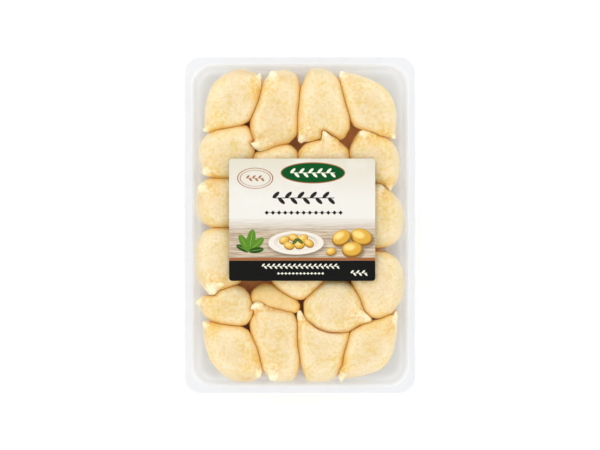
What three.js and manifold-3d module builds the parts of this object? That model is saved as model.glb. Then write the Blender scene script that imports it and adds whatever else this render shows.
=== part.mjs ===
// A sealed retail tray of filled potato gnocchi, lying flat with its film side up.
//
// The pieces are a clear thermoformed tray with a flat sealing flange, one layer of plump pinched dumplings
// that press against each other, the lidding film welded to the flange, and a label stuck on the film.
// Millimetres, +Z up. The origin is on the resting plane, under the tray's middle. The long side is along Y.

import * as THREE from "three";
import { mergeVertices } from "three/addons/utils/BufferGeometryUtils.js";
import Module from "manifold-3d";

const wasm = await Module();
wasm.setup();

// ---------------------------------------------------------------- driving dimensions

const TRAY = {
  width: 151.5,
  length: 220,
  height: 25,
  wall: 0.6,
  flange: 5.6, // from the outer edge to the opening
  outerCorner: 11,
  openingCorner: 14,
  lipDrop: 1.4, // how far the flange's outer edge turns down
  lipRound: 0.5,
  mouthRound: 0.8, // where the wall rolls over into the flange
  stepDepth: 4, // the stacking ledge, below the flange
  stepWidth: 1.2,
  stepSlope: 0.4, // how far the ledge drops over its width
  neckDraft: 0.3, // how much the short wall above the ledge leans in
  draft: 1.5, // how much each wall leans in between the ledge and the base
  baseRound: 5,
};
const FILM = { inset: 0.8, thickness: 0.2 };
const LABEL = { width: 95, length: 79.5, middle: [1.4, 3.4], corner: 1.5, thickness: 0.2 };

const DOUGH_GAP = 0.3; // between a dumpling and whatever it presses on

// facets round each corner of the tray, of the film and the label, and round the tray's lower edge
const CORNER_STEPS = 5;
const PLATE_STEPS = 4;
const BASE_STEPS = 3;

// Places on the tray are read on a grid of small squares, x to the right and y to the front, with the tray's
// middle at a given square.
const GRID = { square: 0.65, middle: [300, 224.5] };

// Each row is one dumpling. outline is the widest line round its body, in grid squares. lift raises it off the
// tray's floor, or sinks its top below the others' where it is negative. A higher layer presses into a lower
// one. tails are the wedges where the dough was pinched shut: the tip's x and y in grid squares and its height
// above the body's widest level, the way it points in degrees from +X, how fast its half-width grows away from
// the tip, and its reach and tip radius where they aren't the usual ones.
const DUMPLINGS = [
  // the back row, left to right
  {
    outline: [
      [244, 68], [256, 72.5], [262.8, 82], [260.5, 95], [255.5, 109], [249.5, 120.5], [238, 126],
      [222, 128], [209, 130.5], [204.6, 120], [206, 103], [212, 86], [223, 75], [233, 70],
    ],
    tails: [
      { tip: [202.3, 129.3, 0], heading: 215, spread: 0.5 },
      { tip: [261.3, 73.2, 3], heading: 60, spread: 0.35 },
    ],
  },
  {
    outline: [
      [286, 68.2], [294.5, 72], [299, 81], [300.7, 91], [298.9, 103], [298.1, 117], [297.8, 129],
      [294, 138.5], [285, 144.3], [272, 148], [260, 150.2], [253.5, 141.5], [249.2, 130], [250.8, 117],
      [257.6, 101], [261.2, 84], [266, 76], [273, 69.5],
    ],
    tails: [
      { tip: [270, 69.5, 3], heading: 125, spread: 0.6 },
      { tip: [250.3, 142, 8.5], heading: 160, spread: 0.36, reach: 9 },
    ],
  },
  {
    outline: [
      [310, 67.6], [320, 67.3], [330, 70.3], [337, 76.5], [341.5, 83], [343.7, 94], [346.8, 106],
      [350.7, 117], [350.6, 126], [347, 134.5], [340, 139.8], [332, 140], [323, 139], [313, 140.3],
      [304, 142], [299, 138.5], [296.8, 128], [296.8, 114], [297.8, 102], [299.6, 89], [302.3, 83],
      [305.8, 75],
    ],
    tails: [{ tip: [297.8, 140.8, 3], heading: 215, spread: 0.6 }],
  },
  {
    outline: [
      [341, 73], [350, 72.3], [361, 75], [373, 79.3], [384, 86], [392, 95.5], [396.3, 107], [397, 119],
      [396, 130], [392, 138.5], [384, 136.7], [375, 134.2], [366, 130.3], [358, 129.3], [352.5, 123],
      [348.5, 114], [344.8, 103], [342, 91], [339.3, 80],
    ],
    tails: [
      { tip: [341.2, 70, 2], heading: 115, spread: 0.45 },
      { tip: [395.8, 139.8, 1], heading: 300, spread: 0.5 },
    ],
  },
  // the second row
  {
    outline: [
      [208, 132.5], [217, 127.8], [230, 126], [243, 123.8], [250, 127.5], [254.5, 138.5], [256, 148],
      [253.5, 156], [251, 166], [244, 174], [232, 177.8], [217, 177.8], [206, 175.5], [201.5, 167],
      [198.7, 157], [198.8, 147], [202.5, 138.5],
    ],
    tails: [{ tip: [200.9, 172.5, 1], heading: 200, spread: 0.5, tipRadius: 1.8 }],
  },
  {
    outline: [
      [254, 152], [262, 150.3], [272, 147.2], [284, 144.4], [292, 145.4], [296.8, 150.5], [298.7, 160],
      [298.5, 177], [292, 190], [280, 195.5], [266, 195], [254, 188], [249.5, 175], [250, 162],
    ],
    tails: [],
  },
  {
    outline: [
      [323.5, 137], [334, 136.5], [341, 141], [347.8, 147], [351, 156], [351, 168], [347, 181],
      [338, 190.5], [324, 193], [310, 190], [301.5, 181], [297.7, 168], [297.8, 157], [301.5, 147],
      [311, 141.3],
    ],
    layer: 2,
    tails: [{ tip: [322.8, 129.8, 10.5], heading: 117, spread: 0.5, reach: 11 }],
  },
  {
    outline: [
      [360, 129], [369, 130.8], [379, 135], [388.5, 138], [394.5, 145], [398.8, 156], [400.3, 167],
      [398.2, 178], [393.5, 186.8], [386, 185.3], [377, 182], [366, 179], [356, 170], [350.4, 158],
      [349.6, 148], [354, 138.5],
    ],
    tails: [
      { tip: [359.3, 130, 1], heading: 145, spread: 0.6 },
      { tip: [391.3, 190, 0], heading: 285, spread: 0.5 },
    ],
  },
  // the third row
  {
    outline: [
      [207, 179], [218, 177.4], [230, 177.2], [243, 180], [251, 190], [253, 203], [249, 216],
      [239, 224.5], [226, 227], [211, 226.5], [202, 221.5], [196.5, 212.5], [195, 202], [196.5, 191],
      [200, 183.5],
    ],
    tails: [{ tip: [196.8, 185.5, 1], heading: 160, spread: 0.6 }],
  },
  {
    outline: [[297, 207], [286, 195], [267, 193], [251, 203], [247, 220], [258, 233.5], [278, 235.5], [294, 225]],
    tails: [],
  },
  {
    outline: [[339, 192], [321, 197], [308, 217], [309, 242], [322, 255.5], [341, 250.5], [354, 230], [353, 206]],
    tails: [],
  },
  {
    outline: [
      [378, 182.3], [385.5, 186.5], [393, 192.3], [400, 200], [403.3, 209], [404.6, 220], [403.3, 231],
      [398, 240], [389, 245.8], [377, 247.5], [364, 246], [354.5, 238], [351.5, 224], [353.5, 208],
      [358, 195], [366, 185],
    ],
    layer: 2,
    tails: [{ tip: [378, 181.4, 3], heading: 92, spread: 0.6 }],
  },
  // the fourth row
  {
    outline: [
      [213, 227.2], [226, 227.2], [239, 230], [247, 239], [250.5, 252], [249, 266], [243.5, 279],
      [235.5, 285.3], [226, 288.7], [217, 290.8], [208, 293], [202.5, 285.5], [196.5, 276.5],
      [194.7, 264], [195.3, 251], [197.7, 240], [203, 231],
    ],
    tails: [{ tip: [212, 294.6, 6], heading: 265, spread: 0.2, tipRadius: 2.8 }],
  },
  {
    outline: [
      [265, 233], [253, 237], [246, 249], [246, 264], [254, 276], [266, 278.5], [277, 270], [281, 256],
      [279, 242],
    ],
    tails: [],
  },
  {
    outline: [
      [270, 278], [276.5, 288.5], [286, 295.8], [297, 299.8], [306, 298], [315, 290.8], [323, 282.5],
      [328, 270], [326, 255], [316, 244], [301, 240], [285, 243.5], [273, 253], [268.5, 266],
    ],
    layer: 2, lift: 0.8,
    tails: [],
  },
  {
    outline: [
      [376, 251], [387, 252], [395.5, 256.5], [401, 265], [403.8, 277], [403.8, 290], [401.5, 301.5],
      [395, 309.8], [388.5, 316.5], [378, 318.7], [368.5, 316.3], [363.5, 308.5], [360.3, 298.5],
      [354.8, 289], [350.5, 279], [351.5, 267], [357, 257.5], [366, 252.5],
    ],
    tails: [],
  },
  // the fifth row: its middle one lies lowest, and its last lies on its neighbours
  {
    outline: [
      [204, 295.5], [214, 295.3], [220, 289.6], [229, 286.2], [237, 284.4], [244.5, 288], [249.8, 295],
      [251.8, 303], [253, 311], [249.5, 320.5], [243, 325.5], [232, 325.4], [219, 323.5], [210, 320.3],
      [202.5, 314.5], [198, 307], [199, 300],
    ],
    tails: [{ tip: [195.3, 302, 0], heading: 190, spread: 0.4, tipRadius: 1.6 }],
  },
  {
    outline: [
      [250.5, 296], [252.5, 290.5], [259, 285], [268, 283], [276, 286.5], [285, 292.5], [294, 297.5],
      [300, 303], [301, 310], [292, 314], [280, 313], [268, 309], [257, 305], [251.5, 302],
    ],
    layer: 0, lift: -2,
    tails: [],
  },
  {
    outline: [
      [326, 279.8], [338, 278], [348, 281.5], [354.8, 288.3], [360, 297.5], [363.3, 307.5], [366, 317],
      [362, 323.5], [355, 328], [347, 333.3], [338, 335.3], [327, 333.8], [315, 329], [307.5, 323],
      [304.8, 314], [303, 303.5], [306.5, 297], [315, 289.5],
    ],
    layer: 3, lift: 1,
    tails: [{ tip: [372.5, 320.3, 5], heading: -16, spread: 0.6, reach: 10 }],
  },
  // the front row
  {
    outline: [
      [203.5, 329], [204, 340], [206.5, 350.5], [211, 362], [219, 371], [228, 378.8], [238, 382.6],
      [248, 382.6], [257, 378.5], [262, 371.5], [261, 362], [258.8, 351.5], [254.5, 340.5],
      [250, 331.5], [243, 326.3], [230, 324.3], [219, 322.8], [209, 320.8], [204, 323],
    ],
    tails: [
      { tip: [200.8, 322.8, 1], heading: 150, spread: 0.5 },
      { tip: [261, 377.8, 3], heading: -60, spread: 0.35 },
    ],
  },
  {
    outline: [
      [258, 301], [268, 302.5], [279, 305], [289, 308.3], [295.3, 314.5], [297.6, 323], [297.8, 336],
      [298.6, 348], [300.6, 359], [299.3, 369], [295, 379], [286, 383.2], [276, 382.3], [269, 377.5],
      [262.5, 369], [260, 358], [257, 347], [251.5, 335.5], [249.2, 325], [252, 315], [255, 307],
    ],
    layer: 2,
    tails: [
      { tip: [250.3, 308.2, 8.5], heading: 200, spread: 0.4, reach: 9 },
      { tip: [270, 381.8, 3], heading: -125, spread: 0.6 },
    ],
  },
  {
    outline: [
      [299, 314.5], [304, 313], [310, 318], [320, 325], [335, 328], [349, 328.5], [351, 333.5],
      [347.5, 343], [344.2, 353], [342.7, 364], [338.5, 374], [332, 380.3], [323, 384.3], [313, 385.7],
      [307, 382], [304, 373], [300.8, 364], [298.8, 354], [296.8, 341], [296.7, 327],
    ],
    tails: [{ tip: [298.2, 311.3, 2], heading: 120, spread: 0.4 }],
  },
  {
    outline: [
      [350.5, 331], [357, 325.8], [366, 323], [374, 319.5], [384, 317.7], [391, 313], [396, 312.5],
      [397.7, 321], [396.8, 335], [395, 347.5], [390, 359], [381.5, 368.3], [368, 373.8], [355, 377.3],
      [343, 378.5], [339.5, 373.5], [341.8, 363], [343, 353], [346.5, 343], [349, 336],
    ],
    tails: [
      { tip: [397.5, 309.3, 1], heading: 70, spread: 0.4 },
      { tip: [340.7, 381.3, 2], heading: 245, spread: 0.45 },
    ],
  },
];

const DOUGH = {
  above: 12.5, // the body's height over its widest level
  below: 10, // and its depth under it, rounded until it is pressed flat
  sink: 1, // how far the underside is pressed flat on the tray's floor
  sides: 18,
  fullness: 0.35, // what its flat facets are moved out by, so that they straddle the outline
  levels: 9,
  squarenessAbove: 2.8, // 2 would be an ellipse's rounding
  squarenessBelow: 3.6,
  unevenness: 0.012, // broad lumps, as a share of the radius
};
const TAIL = {
  sides: 6,
  reach: 6.5, // how far it runs back into the body from its tip
  tipRadius: 1.1,
  thickening: 0.42, // how fast its half-thickness grows away from the tip
  dive: 0.5, // how much of the tip's height it loses over its reach
};

// ---------------------------------------------------------------- solids and booleans

/** A closed three.js geometry as a manifold solid. */
function solidFrom(geometry) {
  const bare = geometry.clone();
  bare.deleteAttribute("normal");
  bare.deleteAttribute("uv");
  const welded = mergeVertices(bare, 1e-4);
  return new wasm.Manifold(
    new wasm.Mesh({
      numProp: 3,
      vertProperties: new Float32Array(welded.attributes.position.array),
      triVerts: new Uint32Array(welded.index.array),
    }),
  );
}

/** A manifold solid as a three.js geometry. */
function geometryFrom(solid) {
  const { vertProperties, triVerts } = solid.getMesh();
  return new THREE.BufferGeometry()
    .setAttribute("position", new THREE.BufferAttribute(vertProperties, 3))
    .setIndex(new THREE.BufferAttribute(triVerts, 1));
}

/** A skin from a first point over a stack of equal loops to a last point, with its faces pointing out. */
function skinOver(firstPoint, loops, lastPoint) {
  const count = loops[0].length;
  const points = [firstPoint, ...loops.flat(), lastPoint];
  const indices = [];
  const at = (loop, k) => 1 + loop * count + (k % count);
  for (let k = 0; k < count; k++) {
    indices.push(0, at(0, k), at(0, k + 1));
    for (let loop = 0; loop + 1 < loops.length; loop++) {
      indices.push(at(loop, k), at(loop + 1, k), at(loop + 1, k + 1));
      indices.push(at(loop, k), at(loop + 1, k + 1), at(loop, k + 1));
    }
    indices.push(at(loops.length - 1, k + 1), at(loops.length - 1, k), points.length - 1);
  }
  return new THREE.BufferGeometry().setFromPoints(points).setIndex(indices);
}

// ---------------------------------------------------------------- tray, film and label

/** A rounded rectangle of points, counter-clockwise from above. */
function roundedLoop(halfWidth, halfLength, corner, z) {
  const middles = [
    [halfWidth - corner, halfLength - corner],
    [corner - halfWidth, halfLength - corner],
    [corner - halfWidth, corner - halfLength],
    [halfWidth - corner, corner - halfLength],
  ];
  return middles.flatMap(([x, y], quarter) =>
    Array.from({ length: CORNER_STEPS + 1 }, (_, step) => {
      const angle = (Math.PI / 2) * (quarter + step / CORNER_STEPS);
      return new THREE.Vector3(x + corner * Math.cos(angle), y + corner * Math.sin(angle), z);
    }),
  );
}

/** The tray's loop at a distance outside its opening, or inside it where that is negative. */
function trayLoop(outside, z) {
  const { width, length, flange, openingCorner, outerCorner } = TRAY;
  const growth = outside < 0 ? 1 : (outerCorner - openingCorner) / flange;
  const corner = openingCorner + outside * growth;
  return roundedLoop(width / 2 - flange + outside, length / 2 - flange + outside, corner, z);
}

/** The wall's line from the floor to the mouth, moved inwards: [distance outside the opening, height]. */
function wallLine(inwards) {
  const { height, wall, mouthRound, stepDepth, stepWidth, stepSlope, neckDraft, draft, baseRound } = TRAY;
  const foot = -stepWidth - draft - inwards;
  const round = baseRound - inwards;
  const floor = wall + inwards;
  const ledge = height - stepDepth + inwards / 2;
  const line = [];
  for (let step = 0; step <= BASE_STEPS; step++) {
    const angle = (Math.PI / 2) * (step / BASE_STEPS);
    line.push([foot - round + round * Math.sin(angle), floor + round - round * Math.cos(angle)]);
  }
  line.push([-stepWidth - inwards, ledge - stepSlope]);
  line.push([-neckDraft - inwards, ledge]);
  line.push([-inwards, height - mouthRound]);
  return line;
}

/** The tray's skin: from the floor up the inside, over the flange and its lip, and down the outside. */
function trayGeometry() {
  const { height, wall, flange, lipDrop, lipRound, mouthRound } = TRAY;
  const inside = wallLine(0);
  const outside = wallLine(-wall).reverse().slice(1);
  const overTheRim = [
    [mouthRound * 0.3, height - mouthRound * 0.3],
    [mouthRound, height],
    [flange - lipRound, height],
    [flange, height - lipRound],
    [flange, height - lipDrop],
    [flange - wall, height - lipDrop],
    [flange - wall, height - wall],
    [mouthRound + wall, height - wall],
  ];
  const loops = [...inside, ...overTheRim, ...outside].map(([distance, z]) => trayLoop(distance, z));
  return skinOver(new THREE.Vector3(0, 0, wall), loops, new THREE.Vector3(0, 0, 0));
}

/** The room inside the tray, less a gap all round, that the dumplings have to fit. */
function trayRoom() {
  const loops = wallLine(DOUGH_GAP).map(([distance, z]) => trayLoop(distance, z));
  const top = new THREE.Vector3(0, 0, TRAY.height - TRAY.mouthRound);
  const bottom = new THREE.Vector3(0, 0, TRAY.wall + DOUGH_GAP);
  return solidFrom(skinOver(top, loops.reverse(), bottom));
}

/** A flat plate with round corners, its underside at z = 0. */
function plateGeometry(width, length, corner, thickness) {
  const outline = new THREE.Shape();
  const x = width / 2 - corner;
  const y = length / 2 - corner;
  outline.absarc(x, y, corner, 0, Math.PI / 2);
  outline.absarc(-x, y, corner, Math.PI / 2, Math.PI);
  outline.absarc(-x, -y, corner, Math.PI, Math.PI * 1.5);
  outline.absarc(x, -y, corner, Math.PI * 1.5, Math.PI * 2);
  const options = { depth: thickness, bevelEnabled: false, curveSegments: PLATE_STEPS };
  return new THREE.ExtrudeGeometry(outline, options);
}

// ---------------------------------------------------------------- dumplings

/** A place on the grid in millimetres from the tray's middle. */
function fromGrid([x, y], z = 0) {
  return new THREE.Vector3((x - GRID.middle[0]) * GRID.square, (GRID.middle[1] - y) * GRID.square, z);
}

/** A dumpling's outline as evenly spaced points, counter-clockwise from above. */
function outlinePoints({ outline }) {
  const curve = new THREE.CatmullRomCurve3(outline.map((place) => fromGrid(place)), true, "centripetal");
  const points = curve.getSpacedPoints(DOUGH.sides).slice(0, -1);
  return THREE.ShapeUtils.isClockWise(points) ? points.reverse() : points;
}

/** Where the middle of a dumpling lies, at the level where it is widest. */
function middleOf(spec) {
  const points = outlinePoints(spec);
  const middle = points.reduce((sum, point) => sum.add(point), new THREE.Vector3()).divideScalar(points.length);
  const raised = Math.max(spec.lift ?? 0, 0);
  return [middle.x, middle.y, TRAY.wall + DOUGH_GAP - DOUGH.sink + DOUGH.below + raised];
}

/** Broad lumps that differ from one dumpling to the next, so that no two have the same skin. */
function lump(direction, number) {
  const phase = number * 2.4;
  return (
    Math.sin(2.1 * direction.x + 3.0 * direction.y + phase) +
    Math.sin(3.3 * direction.z - 2.2 * direction.x + 1.7 * phase)
  );
}

/** The body of one dumpling round its middle, grown all over by a given amount. */
function doughBody(spec, number, grow) {
  const middle = new THREE.Vector3(...middleOf(spec)).setZ(0);
  const rim = outlinePoints(spec).map((point) => point.sub(middle));
  const above = DOUGH.above + Math.min(spec.lift ?? 0, 0) + grow;
  const below = DOUGH.below + grow;
  const loops = [];
  for (let level = 1; level <= DOUGH.levels; level++) {
    const angle = Math.PI * (0.5 - level / (DOUGH.levels + 1));
    const squareness = angle > 0 ? DOUGH.squarenessAbove : DOUGH.squarenessBelow;
    const share = Math.pow(Math.cos(angle), 2 / squareness);
    const rise = Math.sign(angle) * Math.pow(Math.abs(Math.sin(angle)), 2 / squareness);
    loops.push(
      rim.map((point) => {
        const direction = point.clone().normalize().multiplyScalar(Math.cos(angle)).setZ(Math.sin(angle));
        const swell = 1 + DOUGH.unevenness * lump(direction, number);
        const radius = (point.length() * swell + DOUGH.fullness + grow) * share;
        return point.clone().setLength(radius).setZ(rise * (rise > 0 ? above * swell : below));
      }),
    );
  }
  return solidFrom(skinOver(new THREE.Vector3(0, 0, above), loops, new THREE.Vector3(0, 0, -below)));
}

/** A pinched tip: a flat wedge that widens from its tip back into the body, towards its widest level. */
function doughTail(spec, tail, grow) {
  const { tip, heading, spread, reach = TAIL.reach, tipRadius = TAIL.tipRadius } = tail;
  const middle = new THREE.Vector3(...middleOf(spec)).setZ(0);
  const geometry = new THREE.CylinderGeometry(1, 1, 1, TAIL.sides, 1).rotateZ(-Math.PI / 2);
  const points = geometry.attributes.position;
  for (let i = 0; i < points.count; i++) {
    const back = points.getX(i) > 0 ? 0 : reach;
    points.setXYZ(
      i,
      grow - back * (1 + grow / reach),
      points.getY(i) * (tipRadius + back * spread + grow),
      points.getZ(i) * (tipRadius + back * TAIL.thickening + grow),
    );
  }
  geometry.rotateY(-Math.atan2(tip[2] * TAIL.dive, reach));
  geometry.rotateZ(THREE.MathUtils.degToRad(heading));
  const place = fromGrid(tip, tip[2]).sub(middle);
  return solidFrom(geometry.translate(place.x, place.y, place.z));
}

/** One dumpling in its place, before its neighbours press on it. */
function dumplingSolid(spec, number, grow = 0) {
  let solid = doughBody(spec, number, grow);
  for (const tail of spec.tails) {
    solid = solid.add(doughTail(spec, tail, grow));
  }
  return solid.translate(middleOf(spec));
}

/** The dumplings pressed together: each gives way to those in a higher layer and to those before it. */
function pressedDumplings() {
  const room = trayRoom();
  const layerOf = (number) => DUMPLINGS[number].layer ?? 1;
  const order = [...DUMPLINGS.keys()].sort((a, b) => layerOf(b) - layerOf(a) || a - b);
  const pressers = [];
  const pressed = [];
  for (const number of order) {
    const spec = DUMPLINGS[number];
    let solid = dumplingSolid(spec, number).intersect(room);
    for (const presser of pressers) {
      solid = solid.subtract(presser);
    }
    const [largest] = solid.decompose().sort((a, b) => b.volume() - a.volume());
    pressed[number] = largest;
    pressers.push(dumplingSolid(spec, number, DOUGH_GAP));
  }
  return pressed;
}

// ---------------------------------------------------------------- the pack

const trayPlastic = new THREE.MeshStandardMaterial({
  color: 0xeef0f2,
  roughness: 0.25,
  metalness: 0,
  transparent: true,
  opacity: 0.4,
});
const filmPlastic = new THREE.MeshStandardMaterial({
  color: 0xffffff,
  roughness: 0.1,
  metalness: 0,
  transparent: true,
  opacity: 0.15,
});
const labelPaper = new THREE.MeshStandardMaterial({ color: 0xefe8dc, roughness: 0.45, metalness: 0 });
const dough = new THREE.MeshStandardMaterial({ color: 0xf5dda6, roughness: 0.85, metalness: 0 });

function piece(name, geometry, material, place = [0, 0, 0]) {
  const mesh = new THREE.Mesh(geometry, material);
  mesh.name = name;
  mesh.position.set(...place);
  return mesh;
}

function dumplingPieces() {
  return pressedDumplings().map((solid, number) => {
    const place = middleOf(DUMPLINGS[number]);
    const geometry = geometryFrom(solid).translate(-place[0], -place[1], -place[2]);
    return piece(`gnocco_${String(number + 1).padStart(2, "0")}`, geometry, dough, place);
  });
}

function filmPiece() {
  const width = TRAY.width - 2 * FILM.inset;
  const length = TRAY.length - 2 * FILM.inset;
  const geometry = plateGeometry(width, length, TRAY.outerCorner - FILM.inset, FILM.thickness);
  return piece("film", geometry, filmPlastic, [0, 0, TRAY.height]);
}

function labelPiece() {
  const geometry = plateGeometry(LABEL.width, LABEL.length, LABEL.corner, LABEL.thickness);
  return piece("label", geometry, labelPaper, [...LABEL.middle, TRAY.height + FILM.thickness]);
}

const pack = new THREE.Group();
pack.name = "gnocchi_pack";
pack.add(piece("tray", trayGeometry(), trayPlastic), ...dumplingPieces(), filmPiece(), labelPiece());

export default pack;
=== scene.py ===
"""The looks of a sealed tray pack of filled gnocchi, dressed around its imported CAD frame.

The clear tray, the film, the label and each of the 23 dumplings get a finished piece of their own, which
stands for the CAD node of the same place and size.
"""

import math
from functools import partial

import bmesh
import bpy
import numpy as np
from mathutils import Matrix, Vector, noise
from mathutils.bvhtree import BVHTree


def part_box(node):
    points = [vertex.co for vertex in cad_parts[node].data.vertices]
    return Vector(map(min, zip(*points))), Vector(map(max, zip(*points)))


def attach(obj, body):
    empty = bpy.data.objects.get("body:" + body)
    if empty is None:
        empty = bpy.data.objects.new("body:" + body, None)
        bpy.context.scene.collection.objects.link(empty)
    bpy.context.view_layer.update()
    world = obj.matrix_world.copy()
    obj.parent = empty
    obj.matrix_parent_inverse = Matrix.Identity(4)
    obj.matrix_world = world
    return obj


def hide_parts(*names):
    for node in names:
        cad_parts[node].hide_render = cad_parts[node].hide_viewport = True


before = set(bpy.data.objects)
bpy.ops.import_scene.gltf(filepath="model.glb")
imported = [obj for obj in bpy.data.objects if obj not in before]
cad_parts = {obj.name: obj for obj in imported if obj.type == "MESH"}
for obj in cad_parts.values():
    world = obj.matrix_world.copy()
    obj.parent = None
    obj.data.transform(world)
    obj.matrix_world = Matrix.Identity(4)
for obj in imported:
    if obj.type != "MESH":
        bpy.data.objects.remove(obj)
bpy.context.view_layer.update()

MM = 0.001
BODY = "root"

# ---------------------------------------------------------------- sizes, in millimetres

TRAY_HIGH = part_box("tray")[1] / MM
FILM_LOW, FILM_HIGH = (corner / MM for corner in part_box("film"))
LABEL_LOW, LABEL_HIGH = (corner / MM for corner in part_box("label"))

TRAY_HALF = (TRAY_HIGH.x, TRAY_HIGH.y)
TRAY_HEIGHT = TRAY_HIGH.z
WALL = 0.6
FLANGE = 5.6
OUTER_CORNER = 11.0
OPENING_CORNER = 14.0
SMALLEST_CORNER = 1.0
LIP_DROP = 1.4
LIP_ROUND = 0.5
MOUTH_ROUND = 0.8
STEP_DEPTH = 4.0
STEP_WIDTH = 1.2
STEP_SLOPE = 0.4
STEP_BELOW = 0.3  # how far the step's bends reach down the wall,
STEP_ABOVE = 0.2  # up it,
STEP_EASE = 0.12  # along the step
STEP_DIP = 0.05  # and off its slope
NECK_DRAFT = 0.3
DRAFT = 1.5
BASE_ROUND = 5.0
PANEL_INSET = 9.0  # the raised middle of the tray's floor, on which the dumplings lie
PANEL_RISE = 0.28
PANEL_SLOPE = 1.6
PANEL_LINE = ((1.0, 1.0), (0.7, 0.9), (0.3, 0.1), (0.0, 0.0))  # its slope, in shares of its width and rise
PANEL_SHADE_HALF = (58.0, 92.0)  # how far the painted shade under the food reaches on the panel, as an amber sheet
CORNER_STEPS = 16
ROUND_STEPS = 5

FILM_THICKNESS = FILM_HIGH.z - FILM_LOW.z
FILM_CORNER = OUTER_CORNER - (TRAY_HIGH.x - FILM_HIGH.x)
FILM_SAG = 0.5
FILM_PULL = (26.0, 38.0, 0.4)  # how wide and long a pull in the film is, and where its pattern is cut
FILM_PULLS = ((1.0, 0.12), (2.7, 0.05))  # how often pulls come in that size, and how deep
FILM_LIFT = 0.03  # over the flange
FILM_RINGS = 40
LABEL_LIFT = 0.05  # over the film
LABEL_RINGS = 24
SHEET_STEPS = 24  # along each side of the film and the label, so that they follow the sag
LABEL_THICKNESS = LABEL_HIGH.z - LABEL_LOW.z
LABEL_CORNER = 2.0
LABEL_HALF = ((LABEL_HIGH.x - LABEL_LOW.x) / 2, (LABEL_HIGH.y - LABEL_LOW.y) / 2)
LABEL_MIDDLE = ((LABEL_HIGH.x + LABEL_LOW.x) / 2, (LABEL_HIGH.y + LABEL_LOW.y) / 2)

# The nibs where each dumpling was pinched shut, seen from above: tip, bend and root, and the half-widths
# at tip and root.
NIBS = {
    "gnocco_01": [
        ((-62.2, 61.9), (-61.0, 62.3), (-57.9, 63.1), 1.3, 2.8),
        ((-26.3, 98.2), (-26.8, 93.3), (-28.3, 87.4), 1.2, 1.8),
    ],
    "gnocco_02": [
        ((-18.3, 98.5), (-18.5, 96.5), (-18.9, 92.6), 2.0, 2.8),
        ((-32.0, 53.1), (-28.3, 49.5), (-22.1, 51.7), 0.5, 3.2),
    ],
    "gnocco_03": [((0.4, 55.1), (1.3, 56.9), (3.9, 59.5), 1.9, 3.2)],
    "gnocco_04": [
        ((27.1, 99.6), (27.3, 97.8), (29.3, 93.9), 1.3, 2.6),
        ((61.6, 56.7), (60.5, 57.5), (57.9, 59.5), 0.8, 2.2),
    ],
    "gnocco_05": [((-61.8, 34.3), (-60.5, 34.6), (-57.2, 35.4), 2.2, 3.0)],
    "gnocco_07": [((15.2, 60.4), (17.6, 57.9), (22.1, 53.0), 0.6, 4.5)],
    "gnocco_08": [
        ((40.3, 60.0), (42.9, 59.7), (48.1, 57.5), 1.8, 2.4),
        ((58.9, 22.9), (58.5, 24.4), (57.2, 27.0), 0.9, 2.2),
    ],
    "gnocco_09": [((-64.2, 23.9), (-62.4, 23.7), (-59.2, 23.1), 2.7, 3.4)],
    "gnocco_12": [((52.3, 24.8), (53.0, 23.1), (54.6, 19.8), 1.8, 3.2)],
    "gnocco_13": [
        ((-56.8, -42.9), (-57.2, -41.0), (-58.2, -36.7), 2.6, 3.2),
        ((-51.4, -38.9), (-53.3, -39.3), (-57.2, -39.3), 1.0, 2.2),
    ],
    "gnocco_17": [((-66.2, -50.4), (-65.2, -50.4), (-62.4, -51.0), 2.0, 3.0)],
    "gnocco_19": [((45.5, -61.9), (42.3, -59.8), (36.4, -57.5), 0.6, 4.6)],
    "gnocco_20": [
        ((-62.5, -64.0), (-61.1, -64.5), (-57.9, -66.6), 1.5, 2.8),
        ((-26.7, -97.7), (-27.1, -94.6), (-28.4, -88.7), 1.6, 1.8),
    ],
    "gnocco_21": [
        ((-32.0, -54.7), (-28.6, -50.2), (-22.1, -53.0), 0.5, 3.2),
        ((-17.8, -99.5), (-18.1, -97.8), (-18.5, -93.9), 2.1, 2.8),
    ],
    "gnocco_22": [((-0.5, -56.6), (-0.1, -58.8), (1.3, -63.4), 1.4, 2.4)],
    "gnocco_23": [
        ((62.4, -56.9), (62.3, -61.4), (60.1, -67.3), 0.9, 1.8),
        ((26.7, -100.6), (26.8, -98.5), (28.0, -94.6), 1.5, 2.4),
    ],
}

DOUGH_VOXEL = 0.62
WELD = 0.01
SHARP_ANGLE = 40  # degrees, on the tray, the film and the label


# ---------------------------------------------------------------- mesh helpers


def new_piece(name, mesh, slot, *nodes):
    """A finished piece that stands for CAD nodes and rides on the pack; its slot argument is not used."""
    piece = bpy.data.objects.new(name, mesh)
    bpy.context.scene.collection.objects.link(piece)
    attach(piece, BODY)
    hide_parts(*nodes)
    return piece


def rounded_loop(half_width, half_length, corner, height, middle=(0.0, 0.0), side_steps=1):
    """A rounded rectangle of points, counter-clockwise from above.

    height is a number or a function of x and y, and each side has side_steps steps.
    """
    outline = []
    corners = [(1, 1), (-1, 1), (-1, -1), (1, -1)]
    for quarter, (side_x, side_y) in enumerate(corners):
        for step in range(CORNER_STEPS + 1):
            angle = math.pi / 2 * (quarter + step / CORNER_STEPS)
            x = middle[0] + side_x * (half_width - corner) + corner * math.cos(angle)
            y = middle[1] + side_y * (half_length - corner) + corner * math.sin(angle)
            outline.append((x, y))
    points = []
    for k, (x, y) in enumerate(outline):
        after = outline[(k + 1) % len(outline)]
        steps = side_steps if k % (CORNER_STEPS + 1) == CORNER_STEPS else 1
        for share in (step / steps for step in range(steps)):
            points.append((x + (after[0] - x) * share, y + (after[1] - y) * share))
    return [(x, y, height(x, y) if callable(height) else height) for x, y in points]


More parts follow.
